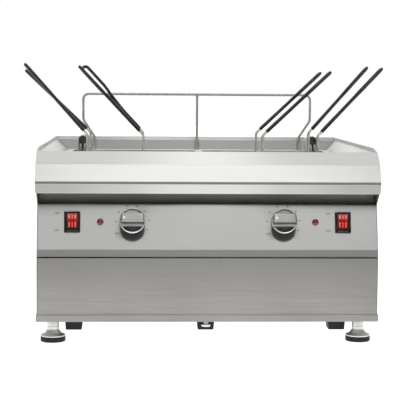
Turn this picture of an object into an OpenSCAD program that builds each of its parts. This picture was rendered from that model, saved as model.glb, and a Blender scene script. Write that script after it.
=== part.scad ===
// Countertop electric fryer with two tanks and eight long-handled baskets.
// +X is the user's right, +Y runs from the user to the back, +Z is up.
// The origin is on the floor, under the centre of the body.
// Set-backs (names that end in _d) are measured from the nose, the foremost edge of the sheet metal.

/* [Body] */
// Width over the side panels
body_w = 700; // [690:1:760]
// Depth from the nose to the back panel
body_d = 650; // [645:1:720]
// Thickness of the sheet metal
sheet_t = 1.5; // [1:0.1:2]
// Gap between sheets that slide or drop into each other
fit_gap = 0.3; // [0.2:0.05:0.5]
// Height of the upturned edge of the base pan
band_h = 14; // [10:1:20]
// Width of the inward flanges of the panels
flange_w = 12; // [8:1:13]
// How far the side and back panels reach up inside the surround
side_lap = 45; // [30:1:50]

/* [Front] */
// Height of the lower front panel above the base band
lower_h = 117; // [100:1:130]
// Set-back of the lower front panel
lower_d = 9; // [6:1:14]
// Dark joint between the lower panel and the control panel
panel_joint = 2; // [1:0.5:4]
// Set-back of the upright strip under the control panel
fold_d = 12; // [10:1:20]
// Height of that strip
fold_h = 15; // [10:1:20]
// Length of the sloping control panel
panel_len = 94; // [90:1:110]
// Backward tilt of the control panel
panel_tilt = 14.2; // [8:0.1:18]
// Height of the dark recess over the control panel
recess_h = 24.5; // [15:0.5:30]
// Set-back of the rail in the recess
recess_d = 60; // [56:1:75]

/* [Surround] */
// Height of the rim band under the nose
rim_h = 24; // [20:1:30]
// How far the rim band slopes back to its lower edge
rim_back = 6; // [3:0.5:8]
// Width of the return under the rim band
rim_lip = 12; // [8:1:18]
// Height of the bright chamfer over the nose
chamfer_h = 34.5; // [25:0.5:40]
// Depth of the chamfer
chamfer_run = 16; // [10:1:20]
// Height of the front of the collar
front_collar_h = 25; // [22:1:27]
// Depth of the front of the collar
front_collar_run = 33; // [28:1:38]
// Height of the deck above the crease over the chamfer
deck_step = 2; // [1:0.5:6]
// Height of the side and back collar above the deck
collar_h = 30; // [26:1:34]
// Run over which the side collar rises behind the front ridge
collar_ramp = 45; // [10:1:60]
// Height of the upright hem inside the collar
hem_h = 8; // [5:1:10]
// Width of the hem on top of the collar
hem_w = 4; // [3:0.5:6]
// Width of the slope from the hem down to the deck
slope_run = 30; // [26:1:31]

/* [Tanks] */
// Set-back of the front wall of the tanks
tank_d = 189; // [170:1:192]
// Depth of the tanks below the deck
tank_h = 216; // [200:1:230]
// Thickness of the tank walls
tank_t = 1.5; // [1:0.1:1.9]
// Distance from a tank to the edge of the flat deck, at the side
tank_side = 17.8; // [14:0.1:30]
// Distance from a tank to the edge of the flat deck, at the back
tank_rear = 82.8; // [82:0.1:110]
// Clear distance between the two tanks, inside wall to inside wall
tank_apart = 16; // [16:0.5:20]
// Radius of the upright corners of the tanks
tank_r = 18; // [10:1:24]
// Width of the flange on which a tank hangs
tank_flange = 7; // [5:0.5:7.5]
// Room beside the baskets for the risers of the heating element
riser_room = 42; // [38:1:44]

/* [Baskets] */
// Height of a basket
basket_h = 145; // [110:1:148]
// Thickness of the mesh wall
basket_t = 2; // [1.5:0.1:3]
// Radius of the corners of a basket
basket_r = 14; // [8:1:20]
// Gap between the baskets of a tank, from side to side
basket_gap = 6; // [6:0.5:8]
// Gap between the front and the rear basket, and to the front wall
row_gap = 8; // [6:0.5:10]
// Gap behind the rear basket, where the element rises
rear_gap = 14; // [13:0.5:16]
// Radius of the handle wire
wire_r = 2.5; // [2:0.1:2.8]
// Radius of the rim wire
rim_r = 3; // [2.8:0.1:3]
// Radius of the black grip
grip_r = 3.5; // [3.2:0.1:3.8]
// Height at which the handle bends, above the deck
bend_h = 48; // [40:1:60]
// Length of the handle past the bend
handle_len = 206; // [180:1:230]
// Tilt of the handles of the inner baskets from the vertical
inner_tilt = 45; // [40:0.1:50]
// Tilt of the handles of the outer baskets from the vertical
outer_tilt = 43; // [35:0.1:48]
// Half the distance between the handle wires where they leave the basket
root_half = 7; // [6:0.5:9]
// Half the distance between the wires where the grip is pinched
pinch_half = 4.2; // [4:0.1:5]
// Half the width of the eye at the end of the grip
eye_half = 8.5; // [7:0.5:11]
// Bare length between the bend and the grip
bare_len = 13; // [8:1:20]

/* [Heating] */
// Radius of the heating element
element_r = 3.2; // [2.5:0.1:4]
// Height of the element above the tank floor
element_h = 20; // [15:1:24]
// Radius of the element's bends
element_bend = 12; // [10:1:16]
// Height of the basket grid above the tank floor
grid_h = 51; // [44:1:55]
// Radius of the grid wires
grid_r = 2.5; // [2:0.1:3]
// Width of the arched cover over the element's risers
cover_w = 24; // [23:1:28]
// Height of that cover above the deck
cover_h = 37; // [32:1:42]

/* [Controls] */
// Height of the row of controls up the sloping panel
row_up = 57.5; // [50:0.5:60]
// Distance of each knob from the side of the body
knob_in = 195; // [180:1:205]
// Distance of each pilot lamp from the side of the body
lamp_in = 129; // [120:1:140]
// Distance of each switch from the side of the body
switch_in = 72; // [65:1:80]
// Radius of a knob
knob_r = 26; // [22:1:28]
// Height of a knob's cup above the panel
knob_h = 22; // [20:1:30]
// Height of the grip bar above the panel
bar_h = 38; // [32:1:42]
// Width of the grip bar
bar_w = 27; // [16:1:30]
// Depth of the pockets beside the bar
knob_pocket = 11; // [6:1:12]
// Radius of the thermostat shaft
shaft_r = 3; // [2.5:0.1:4]
// Running clearance round shafts and pins
run_gap = 0.08; // [0.05:0.01:0.1]
// Radius of a pilot lamp's lens
lamp_r = 6.5; // [5:0.5:8]
// Width of a switch frame
switch_w = 33; // [32:1:36]
// Height of a switch frame
switch_l = 40; // [40:1:44]
// Swing of a rocker between its two stops
rocker_swing = 16; // [10:1:18]
// Radius of a rocker's pivot pins
pivot_r = 1.5; // [1:0.1:2]

/* [Rail] */
// Radius of the basket hanging rail
rail_r = 3; // [2.5:0.1:4]
// Radius of the rail's middle post
post_r = 2.7; // [2.4:0.1:2.9]
// Height of the rail above the deck
rail_h = 139; // [120:1:150]
// Half the width of the rail
rail_half = 281; // [265:1:290]
// Distance of the outer sockets from the middle
socket_x = 254; // [240:1:255]
// Height of the sockets
socket_h = 24; // [18:1:30]
// Height above the deck at which the slanted feet of the rail end
knee_h = 72; // [55:1:80]
// Corner radius of the rail
rail_bend = 14; // [10:1:20]

/* [Feet and base] */
// Height of the body above the floor
foot_h = 52; // [45:1:60]
// Distance of the feet from the side panels
foot_in = 29; // [27:1:40]
// Distance of the feet from the nose and the back panel
foot_d = 75; // [60:1:80]
// Radius of a foot's threaded stem
stem_r = 6; // [5:0.5:8]
// Radius of a foot's sleeve
sleeve_r = 12.3; // [10:0.5:14]
// Radius of a rubber foot pad
pad_r = 26; // [22:1:30]
// Height of a rubber foot pad
pad_h = 11; // [8:1:14]
// Width of the rubber blocks under the base
block_w = 39; // [30:1:45]
// Height of those blocks
block_h = 33; // [16:1:40]
// Distance of the outer blocks from the feet, sideways
block_in = 42; // [40:1:60]
// Set-back of the blocks
block_d = 97; // [97:1:110]
// How far the drain spout stands out under the base
spout_drop = 19; // [6:1:24]
// Set-back of the drain spout
spout_d = 85; // [80:1:85]
// Radius of the drain spout
spout_r = 5; // [4.5:0.1:7]
// Radius of the drain plug's head
plug_r = 9.5; // [8:0.5:11]
// Radius of the drain pipe
pipe_r = 8; // [6:0.5:10]

/* [Back] */
// Distance of the cable gland from the side panel
gland_in = 120; // [110:1:200]
// Height of the cable gland above the base
gland_h = 46; // [30:1:70]
// Radius of the hole through the gland
gland_bore = 5.5; // [4:0.5:6]
// Length of a cooling slot in the back panel
slot_l = 110; // [60:1:120]
// Height of a cooling slot
slot_h = 6; // [4:0.5:8]

/* [Hidden] */
$fn = 48;
SIDES = ["left", "right"];
COLUMNS = ["outer", "inner"];
ROWS = ["front", "rear"];

// Colours
STEEL = [0.76, 0.76, 0.74];
BRIGHT = [0.88, 0.88, 0.87];
SATIN = [0.62, 0.61, 0.59];
DARK = [0.22, 0.21, 0.20];
BLACK = [0.06, 0.06, 0.06];
RED = [0.80, 0.08, 0.06];

// Heights above the floor
pan_z = foot_h + sheet_t;
lower_top_z = foot_h + band_h + lower_h;
fold_z = lower_top_z + panel_joint;
panel_z = fold_z + fold_h;
panel_top_z = panel_z + panel_len * cos(panel_tilt);
rim_z = panel_top_z + recess_h;
nose_z = rim_z + rim_h;
crease_z = nose_z + chamfer_h;
ridge_z = crease_z + front_collar_h;
deck_z = crease_z + deck_step;
collar_z = deck_z + collar_h;
side_top_z = rim_z + side_lap;
tank_z = deck_z - tank_h;
tank_floor = tank_z + tank_t;
grid_z = tank_floor + grid_h;
basket_z = grid_z + grid_r + fit_gap;
element_z = tank_floor + element_h;

// Set-backs and half widths
panel_top_d = fold_d + panel_len * sin(panel_tilt);
ridge_d = chamfer_run + front_collar_run;
collar_d = ridge_d + collar_ramp;
lip_d = rim_back + rim_lip;
shell_half = body_w / 2 + fit_gap + sheet_t;
shell_d = body_d + fit_gap + sheet_t;
inside_half = body_w / 2 - sheet_t;
hem_half = shell_half - hem_w;
hem_d = shell_d - hem_w;
deck_half = hem_half - slope_run;
deck_back_d = hem_d - slope_run;
rail_d = deck_back_d - 12;
tank_x = tank_apart / 2;
tank_w = deck_half - tank_side - tank_x;
tank_back_d = deck_back_d - tank_rear;
basket_w = (tank_w - row_gap - basket_gap - riser_room) / 2;
basket_l = (tank_back_d - tank_d - 2 * row_gap - rear_gap) / 2;
riser_x = tank_x + tank_w - riser_room / 2;
riser_half = 5;
riser_d = tank_back_d - 5;
riser_z = deck_z + tank_t + element_r + 10;
element_end_d = rail_d - 16;
foot_x = body_w / 2 - foot_in;
block_x = foot_x - block_in;
gland_x = body_w / 2 - gland_in;
knob_x = body_w / 2 - knob_in;
lamp_x = body_w / 2 - lamp_in;
switch_x = body_w / 2 - switch_in;
FOOT_Y = [foot_d, body_d - foot_d];
probe_z = element_z + element_r + 7 + fit_gap;
bulb_r = 3;
screw_x = inside_half - flange_w / 2;
hole_w = switch_w - 11;
hole_l = switch_l - 9;
rocker_w = hole_w - 1;
pivot_down = 8;
nut_h = 20;
terminal_d = 90;
pinch_s = 0.46 * handle_len;
eye_s = 0.66 * handle_len;
screw_r = 2;
SCREW_Z = [foot_h + band_h + 12, (pan_z + rim_z) / 2, rim_z - 12];

// How much more than the tilt each handle leans, in degrees: outer front, outer rear, inner front, inner rear
HANG = [[-1.4, 3.4, -1.7, -2.2], [0.2, -1.6, 1.7, 1.7]];

function across(side) = side == "left" ? -1 : 1;
function y_at(d) = d - body_d / 2;

// ---------- Drawing helpers ----------

// Left-hand normal of a segment
function normal(a, b) = let(v = b - a) [-v[1], v[0]] / norm(v);
function mitre(n1, n2) = let(m = n1 + n2) m * 2 / (m * m);

// Outline of a bent sheet: a run of points thickened by t to its left
function bent_sheet(p, t) = concat(p, [for (i = [len(p) - 1:-1:0])
    p[i] + t * (i == 0 ? normal(p[0], p[1])
        : i == len(p) - 1 ? normal(p[i - 1], p[i])
        : mitre(normal(p[i - 1], p[i]), normal(p[i], p[i + 1])))]);

// A closed counter-clockwise outline moved inward by t
function inset(p, t) = [for (i = [0:len(p) - 1])
    let(a = p[(i + len(p) - 1) % len(p)], c = p[(i + 1) % len(p)])
    p[i] + t * mitre(normal(a, p[i]), normal(p[i], c))];

// Children of the left half are the right half's mirror image
module on_side(side) { if (side == "left") mirror([1, 0, 0]) children(); else children(); }

// A profile of [set-back, height] points carried along X
module along_x(profile, x0, x1) {
    translate([x0, y_at(0), 0]) rotate([90, 0, 90]) linear_extrude(x1 - x0) polygon(profile);
}

// A box from one corner to the other, with set-backs as Y
module block(lo, hi) { translate([lo[0], y_at(lo[1]), lo[2]]) cube(hi - lo); }

// The frame of the sloping panel: X across, Y up the panel, Z out of it
module on_panel(x, up = row_up) {
    translate([x, y_at(fold_d), panel_z]) rotate([90 - panel_tilt, 0, 0]) translate([0, up, 0]) children();
}

// A rectangle with round corners, from [x, set-back] to [x, set-back]
module round_rect(lo, hi, r) {
    translate([lo[0], y_at(lo[1])]) {
        w = hi[0] - lo[0];
        l = hi[1] - lo[1];
        translate([r, 0]) square([w - 2 * r, l]);
        translate([0, r]) square([w, l - 2 * r]);
        for (x = [r, w - r], y = [r, l - r]) translate([x, y]) circle(r);
    }
}

// Moves [x, set-back, height] points into the model's frame
function placed(points) = [for (p = points) [p[0], y_at(p[1]), p[2]]];
function unit(v) = v / norm(v);
function turn_angle(a, b) = acos(max(-1, min(1, a * b)));

// Places children with their X, Y and Z along the given unit vectors
module framed(at, x, y, z) {
    multmatrix([[x[0], y[0], z[0], at[0]], [x[1], y[1], z[1], at[1]], [x[2], y[2], z[2], at[2]], [0, 0, 0, 1]])
        children();
}

// A bent rod or tube: straight runs joined by round bends, one bend radius for each inner point
module bent_rod(points, r, bends, bore = 0) {
    last = len(points) - 1;
    ways = [for (i = [0:last - 1]) unit(points[i + 1] - points[i])];
    cuts = [for (i = [0:last]) i == 0 || i == last ? 0
        : bends[i - 1] * tan(turn_angle(ways[i - 1], ways[i]) / 2)];
    for (i = [0:last - 1]) {
        way = ways[i];
        start = points[i] + way * cuts[i];
        side = unit(cross(way, abs(way[1]) < 0.9 ? [0, 1, 0] : [1, 0, 0]));
        framed(start, side, cross(way, side), way)
            linear_extrude(norm(points[i + 1] - points[i]) - cuts[i] - cuts[i + 1])
                ring(r, bore);
    }
    for (i = [1:1:last - 1]) {
        came = ways[i - 1];
        inward = unit(ways[i] - came * (ways[i] * came));
        centre = points[i] - came * cuts[i] + inward * bends[i - 1];
        framed(centre, -inward, came, cross(came, inward))
            rotate_extrude(angle = turn_angle(came, ways[i])) translate([bends[i - 1], 0]) ring(r, bore);
    }
}

module ring(r, bore) {
    difference() {
        circle(r);
        if (bore > 0) circle(bore);
    }
}

// Points of a round bend of radius r, on the way from a over b to c
function rounded(a, b, c, r, steps = 4) =
    let(u = unit(b - a), v = unit(c - b), turn = turn_angle(u, v), cut = r * tan(turn / 2),
        inward = unit(v - u * (u * v)), centre = b - u * cut + inward * r)
    [for (i = [0:steps]) let(t = turn * i / steps) centre - inward * r * cos(t) + u * r * sin(t)];

// A run of points whose inner corners are round, one bend radius for each
function round_run(p, bends) = [for (i = [0:len(p) - 1]) each i == 0 || i == len(p) - 1 ? [p[i]]
    : rounded(p[i - 1], p[i], p[i + 1], bends[i - 1])];

// A rod of 8 sides along a run of points, whose rings are turned by one vector that the run never points along
module round_sweep(points, r, up, sides = 8) {
    last = len(points) - 1;
    rings = [for (i = [0:last])
        let(way = unit(points[min(i + 1, last)] - points[max(i - 1, 0)]), a = unit(cross(way, up)), b = cross(way, a))
        each [for (k = [0:sides - 1]) points[i] + r * (cos(360 * k / sides) * a + sin(360 * k / sides) * b)]];
    walls = [for (i = [0:last - 1], k = [0:sides - 1]) let(j = (k + 1) % sides)
        [i * sides + j, i * sides + k, (i + 1) * sides + k, (i + 1) * sides + j]];
    polyhedron(rings, concat(walls, [[for (k = [0:sides - 1]) k], [for (k = [sides - 1:-1:0]) last * sides + k]]));
}

// ---------- Body ----------

module base_pan() {
    front = lower_d - fit_gap - sheet_t;
    color(STEEL) difference() {
        block([-shell_half, front, foot_h], [shell_half, shell_d, foot_h + band_h]);
        block([-shell_half + sheet_t, front + sheet_t, pan_z],
              [shell_half - sheet_t, shell_d - sheet_t, foot_h + band_h + 1]);
        for (x = [-foot_x, foot_x], d = FOOT_Y)
            translate([x, y_at(d), foot_h - 1]) cylinder(r = stem_r + fit_gap, h = sheet_t + 2);
        translate([0, y_at(spout_d), foot_h - 1]) cylinder(r = spout_r + fit_gap, h = sheet_t + 2);
    }
}

module lower_front_panel() {
    half = inside_half - fit_gap;
    back = lower_d + flange_w;
    color(SATIN) along_x(bent_sheet([[back, lower_top_z], [lower_d, lower_top_z], [lower_d, pan_z], [back, pan_z]],
                                    sheet_t), -half, half);
}

// Front outline of a side panel, which closes the ends of the front panels and of the recess
function cheek() = [
    [lower_d, pan_z], [body_d, pan_z], [body_d, side_top_z], [lip_d + fit_gap, side_top_z],
    [lip_d + fit_gap, rim_z - fit_gap], [rim_back, rim_z - fit_gap], [panel_top_d, panel_top_z],
    [fold_d, panel_z], [fold_d, fold_z], [lower_d, fold_z]];

module side_panel(side) {
    flange_x = inside_half - flange_w;
    rear_d = body_d - sheet_t;
    color(STEEL) on_side(side) difference() {
        union() {
            along_x(cheek(), inside_half, body_w / 2);
            block([flange_x, lower_d + flange_w + fit_gap, pan_z], [inside_half, rear_d, pan_z + sheet_t]);
            block([flange_x, rear_d - sheet_t, pan_z], [inside_half, rear_d, side_top_z]);
        }
        screw_holes();
    }
}

// Clearance holes for the screws of the back panel
module screw_holes() {
    for (z = SCREW_Z) translate([screw_x, y_at(body_d + 1), z])
        rotate([90, 0, 0]) cylinder(r = screw_r + fit_gap, h = 2 * sheet_t + 2);
}

module back_panel() {
    half = inside_half - fit_gap;
    rows = floor((side_top_z - pan_z - 150) / (3 * slot_h));
    color(STEEL) difference() {
        block([-half, body_d - sheet_t, pan_z], [half, body_d, side_top_z]);
        for (side = SIDES) on_side(side) screw_holes();
        for (column = [-1:1], row = [0:rows])
            translate([column * (slot_l + 50), y_at(body_d), pan_z + 110 + row * 3 * slot_h])
                cube([slot_l, 4 * sheet_t, slot_h], center = true);
        translate([gland_x, y_at(body_d + 1), foot_h + gland_h]) rotate([90, 0, 0])
            cylinder(r = gland_bore + 2.5 + fit_gap, h = sheet_t + 2);
    }
}

module panel_screws() {
    color(BRIGHT) for (side = SIDES) on_side(side) for (z = SCREW_Z)
        translate([screw_x, y_at(body_d), z]) rotate([-90, 0, 0]) {
            translate([0, 0, -10]) cylinder(r = screw_r, h = 10);
            difference() {
                cylinder(r = 2 * screw_r, h = 2);
                for (turn = [0, 90]) rotate(turn) translate([0, 0, 2]) cube([2.6 * screw_r, 0.8, 1.6], center = true);
            }
        }
}

module control_panel() {
    half = inside_half - fit_gap;
    color(STEEL) difference() {
        along_x(bent_sheet([[recess_d - fit_gap, panel_top_z], [panel_top_d, panel_top_z], [fold_d, panel_z],
                            [fold_d, fold_z], [fold_d + flange_w, fold_z]], sheet_t), -half, half);
        for (side = SIDES) on_side(side) {
            on_panel(knob_x) translate([0, 0, -3 * sheet_t]) cylinder(r = shaft_r + 2, h = 6 * sheet_t);
            on_panel(lamp_x) translate([0, 0, -3 * sheet_t]) cylinder(r = lamp_r - 1, h = 6 * sheet_t);
            on_panel(switch_x) cube([switch_w - 5, switch_l - 3, 6 * sheet_t], center = true);
        }
    }
}

module front_rail() {
    half = inside_half - fit_gap;
    low = panel_top_z - flange_w;
    high = rim_z + rim_h;
    color(DARK) along_x(bent_sheet([[recess_d + flange_w, high], [recess_d, high], [recess_d, low],
                                    [recess_d + flange_w, low]], sheet_t), -half, half);
}

// ---------- Surround ----------

// Side view of the pressed top, counter-clockwise
function top_outline() =
    [[rim_back, rim_z], [shell_d, rim_z], [shell_d, collar_z], [collar_d, collar_z], [ridge_d, ridge_z],
     [chamfer_run, crease_z], [0, nose_z]];

// The sunken middle of the pressed top, grown by g on every face
module basin(g) {
    hem_z = collar_z - hem_h;
    a = [hem_half + g, ridge_d - g, hem_d + g];
    b = [deck_half + g, ridge_d + slope_run - g, deck_back_d + g];
    function corners(s, z) = [for (p = [[-s[0], s[1]], [s[0], s[1]], [s[0], s[2]], [-s[0], s[2]]])
        [p[0], y_at(p[1]), z]];
    polyhedron(concat(corners(b, deck_z - g), corners(a, hem_z), corners(a, collar_z + 5)),
        [[0, 1, 2, 3], [11, 10, 9, 8],
         for (level = [0, 4], i = [0:3]) let(j = (i + 1) % 4) [level + i, level + 4 + i, level + 4 + j, level + j]]);
}

module top_surround() {
    under = inset(top_outline(), sheet_t);
    color(BRIGHT) difference() {
        along_x(top_outline(), -shell_half, shell_half);
        basin(0);
        difference() {
            union() {
                along_x(under, -shell_half + sheet_t, shell_half - sheet_t);
                block([-shell_half + sheet_t, lip_d, rim_z - 1],
                      [shell_half - sheet_t, shell_d - sheet_t, rim_z + 2 * sheet_t]);
            }
            basin(sheet_t);
        }
        for (side = SIDES) on_side(side) {
            translate([0, 0, deck_z - 2 * sheet_t]) linear_extrude(4 * sheet_t) tank_outline(tank_t + fit_gap);
            for (x = [-riser_half, riser_half])
                translate([riser_x + x, y_at(element_end_d), deck_z - 2 * sheet_t])
                    cylinder(r = element_r + fit_gap, h = 4 * sheet_t);
        }
    }
}

// ---------- Tanks and heating ----------

// Plan of the right tank's inside, grown by g
module tank_outline(g) {
    round_rect([tank_x - g, tank_d - g], [tank_x + tank_w + g, tank_back_d + g], tank_r + g);
}

module tank(side) {
    color(SATIN) on_side(side) difference() {
        union() {
            translate([0, 0, tank_z]) linear_extrude(tank_h + tank_t) tank_outline(tank_t);
            translate([0, 0, deck_z]) linear_extrude(tank_t) tank_outline(tank_flange);
            tank_probe_axis() cylinder(r = bulb_r + 3, h = 12);
        }
        translate([0, 0, tank_floor]) linear_extrude(tank_h + 1) tank_outline(0);
        tank_probe_axis() translate([0, 0, -5]) cylinder(r = bulb_r + fit_gap, h = 20);
        translate([drain_x(), y_at(drain_d()), tank_z - 1]) cylinder(r = pipe_r - tank_t, h = tank_t + 2);
    }
}

// Axis of the fitting through which the thermostat's bulb enters the tank, pointing to the front
module tank_probe_axis() { translate([knob_x, y_at(tank_d), probe_z]) rotate([90, 0, 0]) children(); }

function drain_x() = tank_x + 20;
function drain_d() = tank_d + 20;

// Six legs across the tank floor and two risers over its rear wall
module heater(side) {
    outer = riser_x + riser_half;
    inner = riser_x - riser_half;
    leg = (outer - tank_x - 33) / 5;
    front = tank_d + 17;
    rear = tank_back_d - 35;
    home = tank_back_d - 11;
    end_z = deck_z - 30;
    path = concat(
        [[outer, element_end_d, end_z], [outer, element_end_d, riser_z], [outer, riser_d, riser_z],
         [outer, riser_d, element_z]],
        [for (i = [0:4]) each i % 2 == 0
            ? [[outer - i * leg, front, element_z], [outer - (i + 1) * leg, front, element_z]]
            : [[outer - i * leg, rear, element_z], [outer - (i + 1) * leg, rear, element_z]]],
        [[outer - 5 * leg, home, element_z], [inner, home, element_z], [inner, home, riser_z],
         [inner, element_end_d, riser_z], [inner, element_end_d, end_z]]);
    color(DARK) on_side(side) bent_rod(placed(path), element_r, [for (i = [1:len(path) - 2]) element_bend]);
}

// An arched tunnel on the rear deck, open at its front
module element_cover(side) {
    r = cover_w / 2;
    front = tank_back_d + tank_flange + fit_gap;
    length = element_end_d + element_r + 4 - front;
    color(BRIGHT) on_side(side) translate([riser_x, y_at(front), deck_z]) rotate([90, 0, 180]) difference() {
        linear_extrude(length) arch(r, cover_h);
        translate([0, -1, -1]) linear_extrude(length - sheet_t + 1) arch(r - sheet_t, cover_h - sheet_t + 1);
    }
}

module arch(r, h) {
    translate([-r, 0]) square([2 * r, h - r]);
    intersection() {
        translate([0, h - r]) circle(r);
        translate([-r, h - r - 1]) square([2 * r, r + 2]);
    }
}

// A wire rack on four legs, over the element and under the baskets
module basket_grid(side) {
    x0 = tank_x + 8;
    x1 = riser_x - riser_half - 11;
    d0 = tank_d + 8;
    d1 = tank_back_d - 27;
    bars = 7;
    color(SATIN) on_side(side) {
        for (x = [x0, x1]) {
            bent_rod(placed([[x, d0, tank_floor], [x, d0, grid_z], [x, d1, grid_z], [x, d1, tank_floor]]),
                     grid_r, [2 * grid_r, 2 * grid_r]);
        }
        for (i = [1:bars]) let(d = d0 + i * (d1 - d0) / (bars + 1))
            bent_rod(placed([[x0, d, grid_z], [x1, d, grid_z]]), grid_r * 0.8, []);
    }
}

// ---------- Controls ----------

module thermostat(side) {
    body_r = 20;
    body_h = 26;
    color(SATIN) on_side(side) {
        on_panel(knob_x) {
            translate([0, 0, -sheet_t - body_h]) cylinder(r = body_r, h = body_h);
            translate([0, 0, -sheet_t - 2]) cylinder(r = shaft_r, h = knob_h - 6 + sheet_t);
        }
        capillary();
    }
}

// Fine tube from the thermostat to the bulb in the tank
module capillary() {
    start = fold_d + row_up * sin(panel_tilt) + 18;
    tube_r = 1.2;
    bulb_l = basket_l * 0.7;
    turn_d = (start + tank_d) / 2;
    start_z = panel_z + row_up * cos(panel_tilt) - 8;
    bent_rod(placed([[knob_x, start, start_z], [knob_x, turn_d, start_z], [knob_x, turn_d, probe_z],
                     [knob_x, tank_d + 10, probe_z]]), tube_r, [8, 8]);
    translate([knob_x, y_at(tank_d - 8), probe_z]) rotate([-90, 0, 0]) cylinder(r = bulb_r, h = bulb_l);
}

// A cup with a grip bar that stands out of it
module knob(side) {
    floor_z = 2;
    rim = knob_r - 2.6;
    pocket_z = knob_h - knob_pocket;
    color(BRIGHT) on_side(side) on_panel(knob_x) difference() {
        union() {
            rotate_extrude() polygon([[0, floor_z], [knob_r - 2, floor_z], [knob_r - 2, knob_h * 0.4],
                                      [knob_r, knob_h * 0.5], [knob_r, knob_h - 1], [knob_r - 1, knob_h],
                                      [rim, knob_h], [rim, pocket_z], [0, pocket_z]]);
            translate([0, 0, pocket_z - 1]) linear_extrude(bar_h - pocket_z + 1) intersection() {
                circle(knob_r - 1);
                square([2 * knob_r, bar_w], center = true);
            }
        }
        translate([0, 0, floor_z - 1]) cylinder(r = shaft_r + run_gap, h = knob_h - 8);
    }
}

module pilot_lamp(side) {
    color(RED) on_side(side) on_panel(lamp_x) {
        rotate_extrude() polygon([[0, -18], [lamp_r - 1 - fit_gap, -18], [lamp_r - 1 - fit_gap, 0], [lamp_r, 0],
                                  [lamp_r, 2], [lamp_r - 1.5, 4], [0, 5]]);
    }
}

module switch_housing(side) {
    case_w = switch_w - 5 - 2 * fit_gap;
    case_l = switch_l - 3 - 2 * fit_gap;
    color(BLACK) on_side(side) on_panel(switch_x) difference() {
        union() {
            translate([-switch_w / 2, -switch_l / 2, 0]) cube([switch_w, switch_l, 2.5]);
            translate([-case_w / 2, -case_l / 2, -24]) cube([case_w, case_l, 25]);
        }
        translate([-hole_w / 2, -hole_l / 2, -21]) cube([hole_w, hole_l, 30]);
        translate([0, 0, -pivot_down]) rotate([0, 90, 0])
            cylinder(r = pivot_r + run_gap, h = hole_w + 4, center = true);
    }
}

// The rocker rests with its lower end pressed in
module switch_rocker(side) {
    reach = hole_l / 2 - 2.4;
    color(RED) on_side(side) on_panel(switch_x) translate([0, 0, -pivot_down]) rotate([rocker_swing / 2, 0, 0]) {
        rotate([90, 0, 90]) translate([0, 0, -rocker_w / 2]) linear_extrude(rocker_w)
            polygon([[-reach, 10.5], [-reach + 1, 3], [-5, -4], [5, -4], [reach - 1, 3], [reach, 10.5], [0, 9]]);
        rotate([0, 90, 0]) cylinder(r = pivot_r, h = hole_w + 3, center = true);
    }
}

// ---------- Rail ----------

module basket_rail() {
    foot = deck_z + fit_gap;
    top = deck_z + rail_h - rail_r;
    knee = deck_z + socket_h + 8;
    knee_top = deck_z + knee_h;
    color(BRIGHT) {
        for (x = [-socket_x, socket_x]) translate([x, y_at(rail_d), foot]) cylinder(r = rail_r, h = knee - 5 - foot);
        round_sweep(placed(round_run(
            [[-socket_x, rail_d, knee - 8], [-socket_x, rail_d, knee], [-rail_half, rail_d, knee_top],
             [-rail_half, rail_d, top], [rail_half, rail_d, top], [rail_half, rail_d, knee_top],
             [socket_x, rail_d, knee], [socket_x, rail_d, knee - 8]],
            [9, 20, rail_bend, rail_bend, 20, 9])), rail_r - 0.05, [0, 1, 0], 16);
        translate([0, y_at(rail_d), foot]) cylinder(r = post_r, h = top - foot);
    }
}

module rail_sockets() {
    color(BRIGHT) for (x = [-socket_x, 0, socket_x]) translate([x, y_at(rail_d), deck_z]) difference() {
        cylinder(r = rail_r + 2.5, h = socket_h);
        translate([0, 0, -1]) cylinder(r = (x == 0 ? post_r : rail_r) + run_gap, h = socket_h + 2);
    }
}

// ---------- Feet and base ----------

function foot_at(row, side) = [across(side) * foot_x, y_at(row == "front" ? FOOT_Y[0] : FOOT_Y[1]), 0];

module foot(row, side) {
    top = foot_h - fit_gap;
    color(BRIGHT) translate(foot_at(row, side)) rotate_extrude()
        polygon([[0, pad_h], [pad_r - 0.5, pad_h], [pad_r - 0.5, pad_h + 2], [sleeve_r + 6, pad_h + 5],
                 [sleeve_r + 1, pad_h + 10], [sleeve_r, pad_h + 14], [sleeve_r, top - 3], [sleeve_r - 1, top],
                 [stem_r, top], [stem_r, foot_h + nut_h + 12], [0, foot_h + nut_h + 12]]);
}

module foot_pad(row, side) {
    color(BLACK) translate(foot_at(row, side)) rotate_extrude()
        polygon([[0, 0], [pad_r - 1.5, 0], [pad_r, 1.5], [pad_r, pad_h - 1], [pad_r - 1, pad_h], [0, pad_h]]);
}

// Threaded bosses on the floor of the base pan
module foot_sockets() {
    color(STEEL) for (x = [-foot_x, foot_x], d = FOOT_Y) translate([x, y_at(d), pan_z]) difference() {
        cylinder(r = stem_r + 5, h = nut_h);
        translate([0, 0, -1]) cylinder(r = stem_r + run_gap, h = nut_h + 2);
    }
}

module base_blocks() {
    color(BLACK) for (x = [-block_x, 0, block_x])
        translate([x, y_at(block_d), foot_h - block_h]) rotate([90, 0, 180])
            linear_extrude(block_w) polygon([[-block_w / 2 + 3, 0], [block_w / 2 - 3, 0],
                                             [block_w / 2, block_h], [-block_w / 2, block_h]]);
}

// Pipe that joins the floors of both tanks to the spout under the base
module drain_pipe() {
    color(STEEL) difference() {
        drain_run(0);
        drain_run(tank_t);
    }
}

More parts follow.
